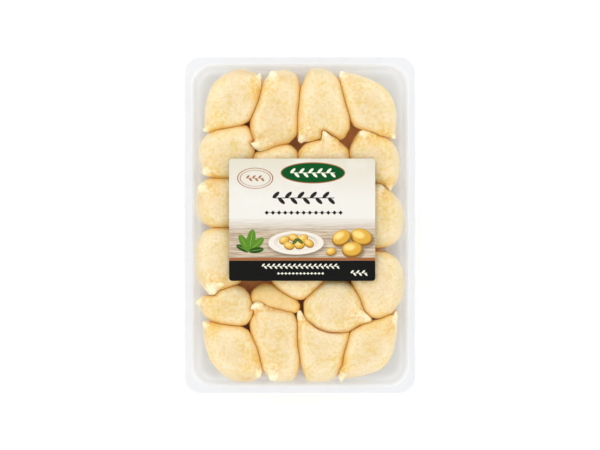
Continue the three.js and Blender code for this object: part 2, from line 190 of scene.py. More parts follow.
def skin_over(name, first, loops, last):
    """A closed mesh from a first point over a stack of equal loops to a last point, in metres."""
    count = len(loops[0])
    points = [first] + [point for loop in loops for point in loop] + [last]
    faces = []
    for k in range(count):
        after = (k + 1) % count
        faces.append((0, 1 + k, 1 + after))
        for loop in range(len(loops) - 1):
            low, high = 1 + loop * count, 1 + (loop + 1) * count
            faces.append((low + k, high + k, high + after, low + after))
        end = 1 + (len(loops) - 1) * count
        faces.append((end + after, end + k, len(points) - 1))
    mesh = bpy.data.meshes.new(name)
    mesh.from_pydata([[c * MM for c in point] for point in points], [], faces)
    mesh.validate()
    form = bmesh.new()
    form.from_mesh(mesh)
    bmesh.ops.recalc_face_normals(form, faces=form.faces)
    form.to_mesh(mesh)
    form.free()
    mesh.shade_smooth()
    mesh.set_sharp_from_angle(angle=math.radians(SHARP_ANGLE))
    return mesh


# ---------------------------------------------------------------- tray


def tray_loop(outside, height):
    """The tray's loop at a distance outside its opening, or inside it where that is negative."""
    growth = 1 if outside < 0 else (OUTER_CORNER - OPENING_CORNER) / FLANGE
    half_width, half_length = (half - FLANGE + outside for half in TRAY_HALF)
    corner = max(OPENING_CORNER + outside * growth, SMALLEST_CORNER)
    return rounded_loop(half_width, half_length, corner, height)


def wall_line(inwards):
    """The wall's line from the floor's panel to the mouth: distances outside the opening, and heights."""
    foot = -STEP_WIDTH - DRAFT - inwards
    bend = BASE_ROUND - inwards
    floor = WALL + inwards
    ledge = TRAY_HEIGHT - STEP_DEPTH + inwards / 2
    line = []
    for width, rise in PANEL_LINE:
        line.append((foot - PANEL_INSET - PANEL_SLOPE * width, floor + PANEL_RISE * rise))
    for step in range(ROUND_STEPS + 1):
        angle = math.pi / 2 * step / ROUND_STEPS
        line.append((foot - bend + bend * math.sin(angle), floor + bend - bend * math.cos(angle)))
    line.append((-STEP_WIDTH - inwards, ledge - STEP_SLOPE - STEP_BELOW))
    line.append((-STEP_WIDTH - inwards + STEP_EASE, ledge - STEP_SLOPE - STEP_DIP))
    line.append((-NECK_DRAFT - inwards - STEP_EASE, ledge - STEP_DIP))
    line.append((-NECK_DRAFT - inwards, ledge + STEP_ABOVE))
    line.append((-inwards, TRAY_HEIGHT - MOUTH_ROUND))
    return line


def rim_line():
    """The line over the flange and round its lip, and back along its underside to the wall."""
    line = []
    for step in range(1, ROUND_STEPS + 1):
        angle = math.pi / 2 * step / ROUND_STEPS
        rise = MOUTH_ROUND * math.sin(angle)
        line.append((MOUTH_ROUND * (1 - math.cos(angle)), TRAY_HEIGHT - MOUTH_ROUND + rise))
    for step in range(ROUND_STEPS + 1):
        angle = math.pi / 2 * step / ROUND_STEPS
        x = FLANGE - LIP_ROUND + LIP_ROUND * math.sin(angle)
        line.append((x, TRAY_HEIGHT - LIP_ROUND + LIP_ROUND * math.cos(angle)))
    line.append((FLANGE, TRAY_HEIGHT - LIP_DROP))
    line.append((FLANGE - WALL, TRAY_HEIGHT - LIP_DROP))
    line.append((FLANGE - WALL, TRAY_HEIGHT - WALL))
    line.append((MOUTH_ROUND + WALL, TRAY_HEIGHT - WALL))
    return line


def make_tray(plastic):
    inside = wall_line(0)
    outside = wall_line(-WALL)[::-1]
    loops = [tray_loop(distance, z) for distance, z in inside + rim_line() + outside]
    floor = (0, 0, WALL + PANEL_RISE)
    mesh = skin_over("clear_tray", floor, loops, (0, 0, PANEL_RISE))
    mesh.materials.append(plastic)
    return new_piece("clear_tray", mesh, "tray_plastic", "tray")


# ---------------------------------------------------------------- film and label


def film_height(x, y):
    """The film's underside: taut over the flange, and a little lower with faint pulls over the opening."""
    across = min(abs(x) / (TRAY_HALF[0] - FLANGE), 1)
    along = min(abs(y) / (TRAY_HALF[1] - FLANGE), 1)
    open_share = (1 - across**4) * (1 - along**4)
    width, length, cut = FILM_PULL
    place = Vector((x / width, y / length, cut))
    pulls = sum(depth * noise.noise(place * often) for often, depth in FILM_PULLS)
    return FILM_LOW.z - open_share * (FILM_SAG + pulls)


def sheet_on_film(name, half, corner, middle, lift, thickness, rings):
    """A thin sheet that follows the film, lifted off its underside."""
    shares = [(ring + 1) / rings for ring in range(rings)]

    def loop_at(share, up):
        def height(x, y):
            return film_height(x, y) + up

        return rounded_loop(half[0] * share, half[1] * share, corner * share, height, middle, SHEET_STEPS)

    under = [loop_at(share, lift) for share in shares]
    over = [loop_at(share, lift + thickness) for share in reversed(shares)]
    low = film_height(*middle) + lift
    first, last = (*middle, low), (*middle, low + thickness)
    return skin_over(name, first, under + over, last)


def make_film(plastic):
    half, middle = (FILM_HIGH.x, FILM_HIGH.y), (0, 0)
    mesh = sheet_on_film("lid_film", half, FILM_CORNER, middle, FILM_LIFT, FILM_THICKNESS, FILM_RINGS)
    mesh.materials.append(plastic)
    return new_piece("lid_film", mesh, "film", "film")


def make_label(paper):
    lift = FILM_LIFT + FILM_THICKNESS + LABEL_LIFT
    thickness = LABEL_THICKNESS - LABEL_LIFT
    outline = (LABEL_HALF, LABEL_CORNER, LABEL_MIDDLE)
    mesh = sheet_on_film("paper_label", *outline, lift, thickness, LABEL_RINGS)
    mesh.materials.append(paper)
    return new_piece("paper_label", mesh, "label_paper", "label")


# ---------------------------------------------------------------- dumplings

SMOOTHING_ROUNDS = 45
SMOOTHING_SHARE = 0.5
SMOOTHING_RETURNS = 2  # how often what smoothing took off is smoothed and given back
FUSING_ROUNDS = 4
NIB_STEPS = 24
NIB_FLATNESS = 0.8
NIB_SINK = (0.2, 0.8)  # how far its line lies under the skin at tip and root, in half-widths
NIB_DROOP = 0.35  # how far its tip may lie under its root, as a share of its length
NIB_DROP = 0.5  # how much less a height counts than a width in the reach of its colour
NIB_REACH = 2.0  # how far the dough round its line belongs to it, in half-widths
DRY_NIBS = {
    "gnocco_02": 1.0,
    "gnocco_03": 1.0,
    "gnocco_04": 0.8,
    "gnocco_13": 1.0,
    "gnocco_19": 0.9,
    "gnocco_21": 1.0,
    "gnocco_22": 1.0,
    "gnocco_23": 0.8,
}
DRYNESS = 0.55  # of the nibs on all other dumplings
PALE_ASIDE = (0.7, 0.4)  # how far the pale dough reaches from a nib's line, and more if dry, in half-widths
PALE_ALONG = (-0.15, 0.5)  # and from its tip towards its root, as a share of the way
PALE_SHARE = (0.7, 0.3)  # how pale it is, and more if dry
PALE_FADE = 0.8  # how softly it ends
RAGGED_SIZE = 1.7
RAGGED_ASIDE = 0.5
RAGGED_ALONG = 0.45
ROOT_REACH = 7.0  # how far the dough round a nib's root is golden
ROOT_GOLD = 0.7
PLEATS = 3  # round each nib
PLEAT_TURN = 1.7  # how far they turn from one dumpling to the next
PLEAT_START = 2.0  # how far behind the tip they are whole
PLEAT_RUN = 1.5  # how far back they reach, and how far round the tip, in lengths of the nib
PLEAT_WIDTH = 2.2
PLEAT_DEPTH = 0.45
BROAD_SIZE, BROAD_DEPTH = 11.0, 0.3  # the dough's unevenness
MIDDLING_SIZE, MIDDLING_DEPTH = 4.2, 0.13
FINE_SIZE, FINE_DEPTH = 1.5, 0.05
CRUMBLED_DEPTH = 0.25  # of the finest, added where a nib is pale
SEED_STEP = 20  # between the patterns of one dumpling
CLEARANCE = 0.06
TOUCH_REACH = 4.0
GAP_START = 0.3
GAP_REACH = 16.0
GAP_TOP = 18.0
GAP_ROUNDS = 8  # of smoothing
OUTER_REACH = 8.0  # painted light: how far from the wall the dough that faces it is paler
OUTER_LEAN = (1.5, 0.2)  # how soon that painted light sets in as the dough turns towards the wall
SWELLING = 0.5  # how far the dough swells towards a neighbour that presses on it, at most
PRESSED_AT = 16.5
PRESSED_REACH = 4.0
USUAL_TOP = 22.4
SUNK_BY = 2.0  # how far below the others a dumpling lies that is as golden as SUNK_GOLD: painted warm shade on a dumpling that lies low
SUNK_GOLD = 0.45


def even_mesh(mesh):
    """The outer skin of a mesh and all that is fused to it, in even quads."""
    block = bpy.data.objects.new("raw_dough", mesh)
    bpy.context.scene.collection.objects.link(block)
    remesher = block.modifiers.new("even", "REMESH")
    remesher.mode = "VOXEL"
    remesher.voxel_size = DOUGH_VOXEL * MM
    view = block.evaluated_get(bpy.context.evaluated_depsgraph_get())
    even = bpy.data.meshes.new_from_object(view)
    bpy.data.objects.remove(block)
    bpy.data.meshes.remove(mesh)
    return even


def read_points(mesh, name="co"):
    flat = np.empty(len(mesh.vertices) * 3)
    mesh.vertices.foreach_get(name, flat)
    return flat.reshape(-1, 3)


def tree_of(points, mesh):
    faces = [tuple(face.vertices) for face in mesh.polygons]
    return BVHTree.FromPolygons([Vector(point) for point in points], faces)


class Nib:
    """A pinched tip of dough: a horn along a bent line, from its tip to its root in the body."""

    def __init__(self, tip, bend, root, tip_half, root_half, corners, skin):
        def skin_height(place):
            hit = skin.ray_cast(Vector((*place, corners[:, 2].max() + 1)), Vector((0, 0, -1)))[0]
            nearest = np.argmin(np.hypot(corners[:, 0] - place[0], corners[:, 1] - place[1]))
            return corners[nearest, 2] if hit is None else hit.z

        high = skin_height(root) - root_half * NIB_SINK[1]
        droop = NIB_DROOP * math.dist(tip, root)
        low = max(skin_height(tip) - tip_half * NIB_SINK[0], high - droop)
        ends = [np.array((*tip, low)), np.array((*bend, (low + high) / 2)), np.array((*root, high))]
        share = np.linspace(0, 1, NIB_STEPS)[:, None]
        self.line = ends[0] * (1 - share) ** 2 + ends[1] * 2 * share * (1 - share) + ends[2] * share**2
        self.halves = tip_half + (root_half - tip_half) * share[:, 0]
        self.reach = np.linalg.norm(ends[2] - ends[0])

    def fuse(self, form):
        """Adds the horn's body to a form, to be skinned with the rest."""
        for point, half in zip(self.line, self.halves):
            place = Matrix.Translation(Vector(point) * MM) @ Matrix.Diagonal((1, 1, NIB_FLATNESS, 1))
            bmesh.ops.create_icosphere(form, subdivisions=2, radius=half * MM, matrix=place)

    def place_of(self, points):
        """Each point's distance from the line, in half-widths, and its share of the way to the root."""
        steps = points[:, None] - self.line[None]
        steps[..., 2] *= NIB_DROP
        steps = np.linalg.norm(steps, axis=2) / self.halves
        return steps.min(axis=1), steps.argmin(axis=1) / (NIB_STEPS - 1)


class Lump:
    """One dumpling while it is shaped: its vertices as an array, in millimetres."""

    def __init__(self, node):
        self.node = node
        self.seed = int(node[-2:])
        form = bmesh.new()
        form.from_mesh(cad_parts[node].data)
        bmesh.ops.remove_doubles(form, verts=form.verts, dist=WELD * MM)
        raw = bpy.data.meshes.new("raw_dough")
        form.to_mesh(raw)
        form.free()
        corners = read_points(raw) / MM
        skin = tree_of(corners, raw)
        self.nibs = [Nib(*measures, corners, skin) for measures in NIBS.get(node, [])]
        self.take(even_mesh(raw))
        self.smooth()
        self.fuse_nibs()
        self.middle = self.points.mean(axis=0)

    def take(self, mesh):
        self.mesh = mesh
        self.points = read_points(mesh) / MM
        ends = np.empty(len(mesh.edges) * 2, int)
        mesh.edges.foreach_get("vertices", ends)
        self.ends = ends.reshape(-1, 2)

    def neighbour_mean(self, values):
        """Each vertex's mean of a value over its neighbours."""
        here = np.concatenate([self.ends[:, 0], self.ends[:, 1]])
        there = np.concatenate([self.ends[:, 1], self.ends[:, 0]])
        columns = values.reshape(len(values), -1).T
        total = [np.bincount(here, column[there], len(values)) for column in columns]
        return (np.array(total) / np.bincount(here)).T.reshape(values.shape)

    def smoothed(self, values, rounds):
        for _ in range(rounds):
            values = values + SMOOTHING_SHARE * (self.neighbour_mean(values) - values)
        return values

    def smooth(self):
        """Evens the facets out without shrinking the body."""
        faceted = self.points
        self.points = self.smoothed(faceted, SMOOTHING_ROUNDS)
        for _ in range(SMOOTHING_RETURNS):
            self.points = self.points + self.smoothed(faceted - self.points, SMOOTHING_ROUNDS)

    def fuse_nibs(self):
        if not self.nibs:
            return
        self.store()
        form = bmesh.new()
        form.from_mesh(self.mesh)
        for nib in self.nibs:
            nib.fuse(form)
        form.to_mesh(self.mesh)
        form.free()
        self.take(even_mesh(self.mesh))
        self.points = self.smoothed(self.points, FUSING_ROUNDS)

    def store(self):
        self.mesh.vertices.foreach_set("co", (self.points * MM).ravel())
        self.mesh.update()

    def normals(self):
        self.store()
        return read_points(self.mesh, "normal")

    def tree(self):
        return tree_of(self.points, self.mesh)

    def box(self):
        return self.points.min(axis=0), self.points.max(axis=0)


def rough(points, size, seed, octaves=1):
    """Smooth noise at points, about -1 to 1, with its features about size millimetres across."""
    offset = Vector((seed * 7.31, seed * 3.17, seed * 5.23))
    values = np.empty(len(points))
    for k, point in enumerate(points):
        values[k] = noise.fractal(Vector(point) / size + offset, 1.0, 2.0, octaves)
    return values


def near_others(lump, others):
    """Each other dumpling that may touch this one: its tree, and which vertices here are near it."""
    low, high = lump.box()
    for other, tree, (other_low, other_high) in others:
        if other is lump or (other_low > high + TOUCH_REACH).any() or (other_high < low - TOUCH_REACH).any():
            continue
        inside = (lump.points > other_low - TOUCH_REACH).all(axis=1)
        inside &= (lump.points < other_high + TOUCH_REACH).all(axis=1)
        yield tree, np.flatnonzero(inside)


def rest_nibs(lump, others):
    """Lays the parts of a nib that would enter another dumpling onto its skin instead."""
    if not lump.nibs:
        return
    of_nib = np.zeros(len(lump.points), bool)
    for nib in lump.nibs:
        of_nib |= nib.place_of(lump.points)[0] < NIB_REACH
    for tree, near in near_others(lump, others):
        for k in near[of_nib[near]]:
            skin, normal = tree.find_nearest(Vector(lump.points[k]), TOUCH_REACH)[:2]
            if skin is not None and (Vector(lump.points[k]) - skin).dot(normal) < 2 * CLEARANCE:
                lump.points[k] = skin + normal * 2 * CLEARANCE
    lump.store()


def room_round(lump, others, walls):
    """Each vertex's distance to the nearest other dumpling, and to that or the tray."""
    others_near = np.full(len(lump.points), TOUCH_REACH)
    for tree, near in near_others(lump, others):
        for k in near:
            distance = tree.find_nearest(Vector(lump.points[k]), others_near[k])[3]
            if distance is not None:
                others_near[k] = min(others_near[k], distance)
    all_near = others_near.copy()
    for k, point in enumerate(lump.points):
        distance = walls.find_nearest(Vector(point), all_near[k])[3]
        if distance is not None:
            all_near[k] = min(all_near[k], distance)
    return others_near, all_near


def gap_share(lump, normals, whole):
    """How far each vertex faces another dumpling across a gap, 0 to 1, and not the tray or the film."""
    facing = np.zeros(len(lump.points))
    for k in np.flatnonzero(lump.points[:, 2] < GAP_TOP):
        way = Vector(normals[k])
        distance = whole.ray_cast(Vector(lump.points[k]) + way * GAP_START, way, GAP_REACH)[3]
        if distance is not None:
            facing[k] = 1 - distance / GAP_REACH
    return lump.smoothed(facing, GAP_ROUNDS)


def pinch_folds(lump, points):
    """Pleats that run from each nib into the body: how deep each vertex lies in one, 0 to 1."""
    depth = np.zeros(len(points))
    for number, nib in enumerate(lump.nibs):
        tip, reach = nib.line[0], nib.reach
        axis = (tip - lump.middle) / np.linalg.norm(tip - lump.middle)
        side = np.cross(axis, (0, 0, 1))
        side /= np.linalg.norm(side)
        up = np.cross(side, axis)
        away = tip - points
        back = away @ axis
        angle = np.arctan2(away @ up, away @ side)
        pleats = np.sin(angle * PLEATS + lump.seed * PLEAT_TURN + number) * 0.5 + 0.5
        run = np.clip(back / PLEAT_START, 0, 1) * np.exp(-((back / (reach * PLEAT_RUN)) ** 2))
        near = np.exp(-((np.linalg.norm(away, axis=1) / (reach * PLEAT_WIDTH)) ** 2))
        depth = np.maximum(depth, pleats**3 * run * near)
    return depth


def fading(values, end):
    """1 up to an end, and from there down to 0 over the softness of a pale nib."""
    return 1 - np.clip((values - end) / PALE_FADE, 0, 1)


def nib_shares(lump, points):
    """How dry and pale each vertex is on a nib, and how golden the dough round its root: 0 to 1."""
    pale = np.zeros(len(points))
    gold = np.zeros(len(points))
    ragged = rough(points, RAGGED_SIZE, lump.seed + 2 * SEED_STEP, 2)
    dryness = DRY_NIBS.get(lump.node, DRYNESS)
    aside_end, along_end, share = (
        usual + more * dryness for usual, more in (PALE_ASIDE, PALE_ALONG, PALE_SHARE)
    )
    for nib in lump.nibs:
        aside, along = nib.place_of(points)
        beside = fading(aside + RAGGED_ASIDE * ragged, aside_end)
        towards_root = fading(along + RAGGED_ALONG * ragged, along_end)
        pale = np.maximum(pale, beside * towards_root * share)
        from_root = np.linalg.norm(points - nib.line[-1], axis=1) / ROOT_REACH
        gold = np.maximum(gold, np.exp(-(from_root**2)) * np.clip(ROOT_GOLD + ragged, 0, 1))
    return pale, gold * (1 - pale)


def store_share(mesh, name, values):
    layer = mesh.attributes.new(name, "FLOAT", "POINT")
    layer.data.foreach_set("value", values.astype(np.float32))


def outer_share(lump, normals):
    """How far each vertex faces the tray's wall and is near it, 0 to 1: where painted light from the clear
    wall goes.
    """
    share = np.zeros(len(lump.points))
    for way, half in enumerate(TRAY_HALF):
        from_wall = half - FLANGE - np.abs(lump.points[:, way])
        near = np.clip(2 - from_wall / OUTER_REACH, 0, 1)
        towards = normals[:, way] * np.sign(lump.points[:, way])
        facing = np.clip(OUTER_LEAN[0] * towards - OUTER_LEAN[1], 0, 1)
        share = np.maximum(share, near * facing)
    return share


def shape_dough(lump, others, walls, whole):
    """Plumps the dough, presses its texture in and stores what the finish reads."""
    touching, room = room_round(lump, others, walls)
    normals = lump.normals()
    folds = pinch_folds(lump, lump.points)
    broad = rough(lump.points, BROAD_SIZE, lump.seed)
    middling = rough(lump.points, MIDDLING_SIZE, lump.seed + SEED_STEP)
    fine = rough(lump.points, FINE_SIZE, lump.seed + 3 * SEED_STEP, 2)
    pale, gold = nib_shares(lump, lump.points)
    # painted warm shade: a dumpling that lies lower than the others turns golden
    sunk = np.clip((USUAL_TOP - lump.points[:, 2].max()) / SUNK_BY, 0, 1)
    gold = np.maximum(gold, SUNK_GOLD * sunk)
    facing = gap_share(lump, normals, whole)
    flank = np.exp(-(((lump.points[:, 2] - PRESSED_AT) / PRESSED_REACH) ** 2))
    outward = BROAD_DEPTH * broad + MIDDLING_DEPTH * middling
    outward = outward + (FINE_DEPTH + CRUMBLED_DEPTH * pale) * fine - PLEAT_DEPTH * folds
    outward = np.minimum(outward + SWELLING * flank * facing**2, room / 2 - CLEARANCE)
    lump.points += normals * outward[:, None]
    lump.points[:, 2] = np.maximum(lump.points[:, 2], WALL + PANEL_RISE + CLEARANCE)
    lump.store()
    store_share(lump.mesh, "pale", pale)
    store_share(lump.mesh, "outer", outer_share(lump, normals))
    store_share(lump.mesh, "gold", gold)
    store_share(lump.mesh, "gap", facing)
    store_share(lump.mesh, "touch", 1 - np.clip(touching / TOUCH_REACH, 0, 1))
    store_share(lump.mesh, "fold", folds)
    store_share(lump.mesh, "top", lump.points[:, 2] - lump.points[:, 2].max())
    lump.mesh.shade_smooth()


def make_dumplings(dough):
    lumps = [Lump(node) for node in sorted(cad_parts) if node.startswith("gnocco")]
    others = [(lump, lump.tree(), lump.box()) for lump in lumps]
    for lump in lumps:
        rest_nibs(lump, others)
    others = [(lump, lump.tree(), lump.box()) for lump in lumps]
    starts = np.cumsum([0] + [len(lump.points) for lump in lumps])
    faces = []
    for start, lump in zip(starts, lumps):
        faces += [tuple(start + v for v in face.vertices) for face in lump.mesh.polygons]
    whole = BVHTree.FromPolygons([Vector(point) for lump in lumps for point in lump.points], faces)
    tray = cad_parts["tray"].data
    walls = tree_of(read_points(tray) / MM, tray)
    for lump in lumps:
        shape_dough(lump, others, walls, whole)
        lump.mesh.materials.append(dough)
        new_piece("dough_" + lump.node[-2:], lump.mesh, "dough", lump.node)


# ---------------------------------------------------------------- materials


def tone(red, green, blue):
    """A screen colour, 0 to 255 each, as the linear colour that a shader takes."""
    linear = [((c / 255 + 0.055) / 1.055) ** 2.4 for c in (red, green, blue)]
    return (*linear, 1.0)


def add(tree, kind, **settings):
    made = tree.nodes.new(kind)
    for name, value in settings.items():
        setattr(made, name, value)
    return made


def feed(tree, target, value):
    """Links a socket to another, or sets its number."""
    if isinstance(value, bpy.types.NodeSocket):
        tree.links.new(value, target)
    else:
        target.default_value = value


def calc(tree, operation, first, second=0.0, third=None):
    made = add(tree, "ShaderNodeMath", operation=operation)
    feed(tree, made.inputs[0], first)
    feed(tree, made.inputs[1], second)
    if third is not None:
        feed(tree, made.inputs[2], third)
    return made.outputs[0]


def blend_colours(tree, share, first, second):
    made = add(tree, "ShaderNodeMix", data_type="RGBA")
    feed(tree, made.inputs["Factor"], share)
    feed(tree, made.inputs["A"], first)
    feed(tree, made.inputs["B"], second)
    return made.outputs["Result"]


def wash(tree, colour, mask, ink, strength):
    """Lays a tone over a colour where a mask says, at less than its full strength."""
    return blend_colours(tree, calc(tree, "MULTIPLY", mask, strength), colour, ink)


def noise_value(tree, place, scale, detail=2.0, roughness=0.5):
    made = add(tree, "ShaderNodeTexNoise")
    feed(tree, made.inputs["Vector"], place)
    made.inputs["Scale"].default_value = scale
    made.inputs["Detail"].default_value = detail
    made.inputs["Roughness"].default_value = roughness
    return made.outputs["Fac"]


def spread(tree, value, low, high, to_low=0.0, to_high=1.0):
    made = add(tree, "ShaderNodeMapRange", clamp=True)
    feed(tree, made.inputs["Value"], value)
    for name, number in (("From Min", low), ("From Max", high), ("To Min", to_low), ("To Max", to_high)):
        feed(tree, made.inputs[name], number)
    return made.outputs["Result"]


def new_material(name, **values):
    material = bpy.data.materials.new(name)
    material.use_nodes = True
    tree = material.node_tree
    shader = tree.nodes["Principled BSDF"]
    for socket, value in values.items():
        shader.inputs[socket.replace("_", " ")].default_value = value
    return material, tree, shader


def object_place(tree):
    return add(tree, "ShaderNodeTexCoord").outputs["Object"]


def axes_of(tree, place):
    """A place's X, Y and Z."""
    split = add(tree, "ShaderNodeSeparateXYZ")
    feed(tree, split.inputs[0], place)
    return split.outputs


def new_group(name, inputs, outputs):
    group = bpy.data.node_groups.new(name, "ShaderNodeTree")
    for label, kind, value in inputs:
        socket = group.interface.new_socket(label, in_out="INPUT", socket_type=kind)
        if value is not None:
            socket.default_value = value
    for label, kind in outputs:
        group.interface.new_socket(label, in_out="OUTPUT", socket_type=kind)
    return group, add(group, "NodeGroupInput"), add(group, "NodeGroupOutput")


def use_group(tree, group, **values):
    made = add(tree, "ShaderNodeGroup", node_tree=group)
    for label, value in values.items():
        feed(tree, made.inputs[label], value)
    return made


NUMBER, VECTOR = "NodeSocketFloat", "NodeSocketVector"


def grain_group():
    """Fine grain at two sizes, as a height and a mask: flour on dough, fibre in paper, haze in plastic."""
    inputs = [("Place", VECTOR, None), ("Coarse", NUMBER, 400.0), ("Fine", NUMBER, 1500.0)]
    group, given, result = new_group("Fine grain", inputs, [("Height", NUMBER), ("Mask", NUMBER)])
    coarse = add(group, "ShaderNodeTexNoise")
    fine = add(group, "ShaderNodeTexNoise")
    for texture, size in ((coarse, "Coarse"), (fine, "Fine")):
        feed(group, texture.inputs["Vector"], given.outputs["Place"])
        feed(group, texture.inputs["Scale"], given.outputs[size])
        texture.inputs["Detail"].default_value = 3.0
    both = calc(group, "MULTIPLY_ADD", fine.outputs["Fac"], 0.4, coarse.outputs["Fac"])
    feed(group, result.inputs["Height"], both)
    feed(group, result.inputs["Mask"], spread(group, coarse.outputs["Fac"], 0.42, 0.62))
    return group


def bump_from(tree, shader, height, strength, distance):
    bump = add(tree, "ShaderNodeBump")
    bump.inputs["Strength"].default_value = strength
    bump.inputs["Distance"].default_value = distance * MM
    feed(tree, bump.inputs["Height"], height)
    feed(tree, shader.inputs["Normal"], bump.outputs["Normal"])


DOUGH_GLOW = (1.0, 0.45, 0.15)  # how far red, green and blue light spreads in the dough, in DOUGH_DEPTHs
DOUGH_DEPTH = 3.0
TOP_BROWNING = (-1.6, -0.2)  # heights under a dumpling's top between which it turns browner
FLANK = (20.5, 16.0)  # heights between which the sides turn golden with painted warm shade
GAP_BOTTOM = 8.0


def dough_finish(grain):
    """Fresh potato dough: pale gold with floury and more golden patches, moist where it is pressed; painted
    warm shade where dumplings touch, in gaps, pleats and low down, and painted light facing the wall.
    """
    material, tree, shader = new_material(
        "potato_dough", Roughness=0.62, Subsurface_Weight=0.3, Specular_IOR_Level=0.3
    )
    shader.inputs["Subsurface Radius"].default_value = DOUGH_GLOW
    shader.inputs["Subsurface Scale"].default_value = DOUGH_DEPTH * MM
    place = object_place(tree)
    height = axes_of(tree, place)["Z"]
    share = {}
    for name in ("pale", "gold", "gap", "touch", "fold", "top", "outer"):
        share[name] = add(tree, "ShaderNodeAttribute", attribute_name=name).outputs["Fac"]
    patches = spread(tree, noise_value(tree, place, 62, 4.0, 0.6), 0.38, 0.64)
    streaks = spread(tree, noise_value(tree, place, 190, 3.0, 0.6), 0.45, 0.7)
    specks = spread(tree, noise_value(tree, place, 620, 2.0, 0.6), 0.4, 0.66)
    flour = use_group(tree, grain, Place=place, Coarse=420.0, Fine=1700.0)
    colour = blend_colours(tree, patches, tone(243, 229, 194), tone(233, 208, 132))
    colour = wash(tree, colour, streaks, tone(246, 234, 210), 0.65)
    colour = wash(tree, colour, specks, tone(229, 197, 110), 0.5)
    colour = wash(tree, colour, flour.outputs["Mask"], tone(246, 234, 208), 0.5)
    top_browning = spread(tree, share["top"], *TOP_BROWNING, 0, 0.25)
    colour = blend_colours(tree, top_browning, colour, tone(214, 184, 132))
    # golden round the nibs' roots, and painted warm shade on a dumpling that lies low
    colour = wash(tree, colour, share["gold"], tone(238, 196, 92), 0.8)
    # painted shade and moist dough: orange-brown where dumplings touch
    touch_shade_and_damp = calc(tree, "POWER", share["touch"], 2.0)
    colour = blend_colours(tree, touch_shade_and_damp, colour, tone(206, 138, 28))
    # painted warm shade: the lower sides turn golden, except where they face the clear wall
    flank = spread(tree, height, FLANK[0] * MM, FLANK[1] * MM, 0, 0.55)
    flank = calc(tree, "MULTIPLY", flank, calc(tree, "SUBTRACT", 1.0, share["outer"]))
    colour = blend_colours(tree, flank, colour, tone(244, 206, 104))
    # painted light on the dough that faces the clear wall
    colour = wash(tree, colour, share["outer"], tone(240, 224, 192), 0.5)
    # painted warm shade low down where dumplings face each other across a gap
    low = spread(tree, height, GAP_TOP * MM, GAP_BOTTOM * MM)
    low = calc(tree, "MULTIPLY", low, share["gap"])
    colour = blend_colours(tree, low, colour, tone(238, 164, 58))
    # painted shade in the pleats round each nib
    colour = wash(tree, colour, share["fold"], tone(222, 172, 84), 0.5)
    colour = blend_colours(tree, share["pale"], colour, tone(252, 245, 212))
    feed(tree, shader.inputs["Base Color"], colour)
    bump_from(tree, shader, flour.outputs["Height"], 0.7, 0.18)
    return material


TRAY_ALPHA = (0.08, 0.42)  # seen square on and edge on
RIM_BAND = (0.9, 0.6)  # depths under the tray's top between which the rim's milkier plastic sets in
RIM_ALPHA = 0.65
# an amber sheet on the panel under the food, painting the warm shade between the dumplings
PANEL_SHADE_ALPHA = 0.95
PANEL_SHADE_FADE = (0.6, 1.0)  # where the painted shade's edge begins and ends, as shares of the way out
PANEL_SHADE_BAND = (-0.18, -0.05, 0.1, 0.3)  # heights over the panel between which it sets in and ends


def tray_finish(grain):
    """Clear formed plastic, a little milky, denser where it is seen edge on, and with an amber sheet of
    painted shade under the food.
    """
    material, tree, shader = new_material("clear_plastic", IOR=1.49)
    place = object_place(tree)
    axes = axes_of(tree, place)
    haze = use_group(tree, grain, Place=place, Coarse=60.0, Fine=300.0)
    feed(tree, shader.inputs["Roughness"], spread(tree, haze.outputs["Mask"], 0, 1, 0.12, 0.2))
    edge = add(tree, "ShaderNodeLayerWeight")
    edge.inputs["Blend"].default_value = 0.3
    cover = spread(tree, edge.outputs["Facing"], 0, 1, *TRAY_ALPHA)
    rim = spread(tree, axes["Z"], *((TRAY_HEIGHT - depth) * MM for depth in RIM_BAND))
    colour = blend_colours(tree, rim, tone(200, 206, 216), tone(237, 238, 240))
    cover = calc(tree, "MAXIMUM", cover, calc(tree, "MULTIPLY", rim, RIM_ALPHA))
    away = []
    for way, half in zip("XY", PANEL_SHADE_HALF):
        outwards = calc(tree, "ABSOLUTE", calc(tree, "DIVIDE", axes[way], half * MM))
        away.append(calc(tree, "POWER", outwards, 4.0))
    under_food = spread(tree, calc(tree, "ADD", *away), *PANEL_SHADE_FADE, 1.0, 0.0)
    heights = [(WALL + PANEL_RISE + rise) * MM for rise in PANEL_SHADE_BAND]
    on_panel = spread(tree, axes["Z"], *heights[:2])
    not_above = spread(tree, axes["Z"], *heights[2:], 1.0, 0.0)
    # painted shade: an amber sheet on the panel under the food, seen in the gaps between dumplings
    panel_shade = calc(tree, "MULTIPLY", calc(tree, "MULTIPLY", on_panel, not_above), under_food)
    colour = blend_colours(tree, panel_shade, colour, tone(246, 200, 122))
    cover = calc(tree, "MAXIMUM", cover, calc(tree, "MULTIPLY", panel_shade, PANEL_SHADE_ALPHA))
    feed(tree, shader.inputs["Base Color"], colour)
    feed(tree, shader.inputs["Alpha"], cover)
    bump_from(tree, shader, haze.outputs["Height"], 0.15, 0.2)
    return material


FILM_IOR = 1.45
FILM_MIRROR = 0.036  # the share of light mirrored, just off square on, from which its gloss sets in
FILM_ALPHA = (0.004, 0.4)  # seen square on and edge on


